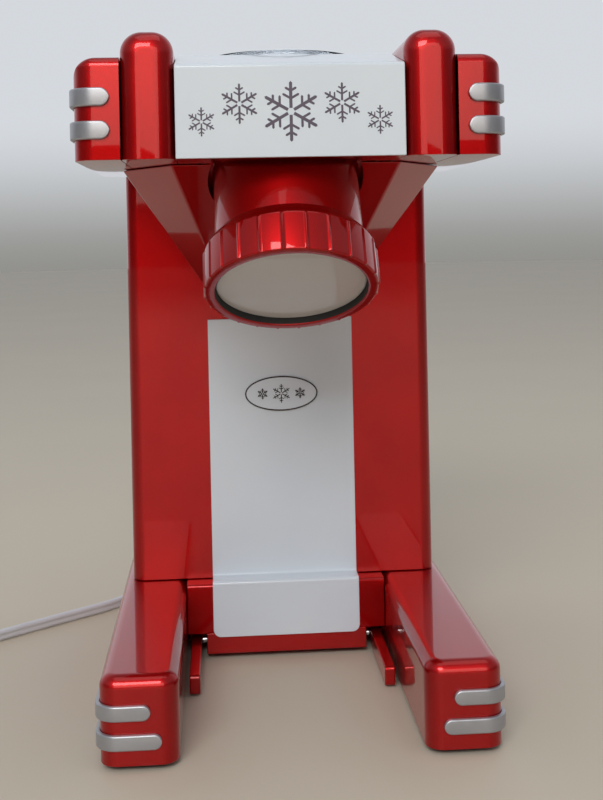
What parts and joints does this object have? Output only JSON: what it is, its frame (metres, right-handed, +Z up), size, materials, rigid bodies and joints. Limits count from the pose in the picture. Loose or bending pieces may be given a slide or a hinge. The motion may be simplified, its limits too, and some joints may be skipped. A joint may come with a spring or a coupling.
{
  "type": "shaved ice machine",
  "caption": "Countertop shaved ice machine: footed red stand, overhanging head with a tilted ribbed chute, clear plunger lid, geared blade drive, swinging tray arms and white cord.",
  "frame": {"origin": "on the table, under the middle of the footprint of the machine without its cord", "axes": "+Z up, the chute and the front panel face -Y, +X to the right when facing the front"},
  "size_m": [0.4061, 0.3262, 0.3554],
  "materials": {
    "red_shell": "high gloss with a metallic candy red under a clear coat",
    "white_panel": "cool white, smooth gloss",
    "silver_trim": "satin silver paint",
    "black_rubber": "matte",
    "black_plastic": "fine texture",
    "steel": "plain, bright",
    "brass": "bright",
    "ivory_gears": "natural moulded",
    "clear_plastic": "clear, polished",
    "white_cord": "soft white vinyl",
    "badge_ink": "printed oval plate"
  },
  "bodies": {
    "frame": {"base_crosspiece": "red_shell", "base_pan": "red_shell", "chin_housing": "red_shell", "chute_tube": "red_shell", "column_front_shell": "red_shell", "column_front_strip": "white_panel", "column_rear_cover": "red_shell", "column_top_cap": "red_shell", "cord_coil": "white_cord", "drive_motor": "steel", "front_badge": "badge_ink", "front_left_rubber_foot": "black_rubber", "front_right_rubber_foot": "black_rubber", "gear_plate": "steel", "head_floor": "red_shell", "head_front_panel": "white_panel", "head_top_cover": "white_panel", "ice_chamber": "white_panel", "idler_pin": "steel", "left_foot_lower_trim": "silver_trim", "left_foot_plate": "black_plastic", "left_foot_shell": "red_shell", "left_foot_upper_trim": "silver_trim", "left_rail": "red_shell", "left_wing": "red_shell", "left_wing_lower_trim": "silver_trim", "left_wing_upper_trim": "silver_trim", "lower_cover_screw": "steel", "motor_bracket": "steel", "plug_blade_left": "brass", "plug_blade_right": "brass", "plug_body": "white_cord", "power_cord": "white_cord", "rear_left_rubber_foot": "black_rubber", "rear_right_rubber_foot": "black_rubber", "right_foot_lower_trim": "silver_trim", "right_foot_plate": "black_plastic", "right_foot_shell": "red_shell", "right_foot_upper_trim": "silver_trim", "right_rail": "red_shell", "right_wing": "red_shell", "right_wing_lower_trim": "silver_trim", "right_wing_upper_trim": "silver_trim", "strain_relief": "white_cord", "switch_body": "black_plastic", "upper_cover_screw": "steel"},
    "lid": {"clear_lid": "clear_plastic", "plunger_foot": "clear_plastic"},
    "safety_pin": {"switch_pin": "white_panel"},
    "cutter": {"blade_disc": "ivory_gears", "shaving_blade_a": "steel", "shaving_blade_b": "steel"},
    "idler": {"idler_gear": "ivory_gears"},
    "pinion": {"motor_pinion": "brass"},
    "mouth_cover": {"mouth_disc": "white_panel"},
    "twist_ring": {"mouth_ring": "red_shell"},
    "tray_arms": {"left_tray_arm": "red_shell", "right_tray_arm": "red_shell", "arm_rod": "steel"}
  },
  "joints": [
    {"name": "lid_lift", "type": "slide", "parent": "frame", "child": "lid", "axis": [0, 0.5, 0.866], "range_m": [0, 0.08]},
    {"name": "switch_press", "type": "slide", "parent": "frame", "child": "safety_pin", "axis": [0, 0, 1], "range_m": [-0.002, 0], "stiffness_N_per_m": 300, "springref_m": 0.002},
    {"name": "blade_spin", "type": "hinge", "parent": "frame", "child": "cutter", "pos_m": [0, -0.0956, 0.23], "axis": [0, 0.5, 0.866], "continuous": true},
    {"name": "idler_spin", "type": "hinge", "parent": "frame", "child": "idler", "pos_m": [0, -0.00925, 0.26906], "axis": [0, 0.5, 0.866], "continuous": true},
    {"name": "pinion_spin", "type": "hinge", "parent": "frame", "child": "pinion", "pos_m": [0, 0.00937, 0.25831], "axis": [0, 0.5, 0.866], "continuous": true},
    {"name": "mouth_pull", "type": "slide", "parent": "frame", "child": "mouth_cover", "axis": [0, -0.5, -0.866], "range_m": [0, 0.06]},
    {"name": "ring_twist", "type": "hinge", "parent": "mouth_cover", "child": "twist_ring", "pos_m": [0, -0.0956, 0.23], "axis": [0, 0.5, 0.866], "range_deg": [0, 40]},
    {"name": "arm_swing", "type": "hinge", "parent": "frame", "child": "tray_arms", "pos_m": [0, 0.0314, 0.0094], "axis": [-1, 0, 0], "range_deg": [0, 16]}
  ],
  "couplings": [
    {"joint": "idler_spin", "follows": "blade_spin", "ratio": -2.6667},
    {"joint": "pinion_spin", "follows": "blade_spin", "ratio": 6.4}
  ]
}
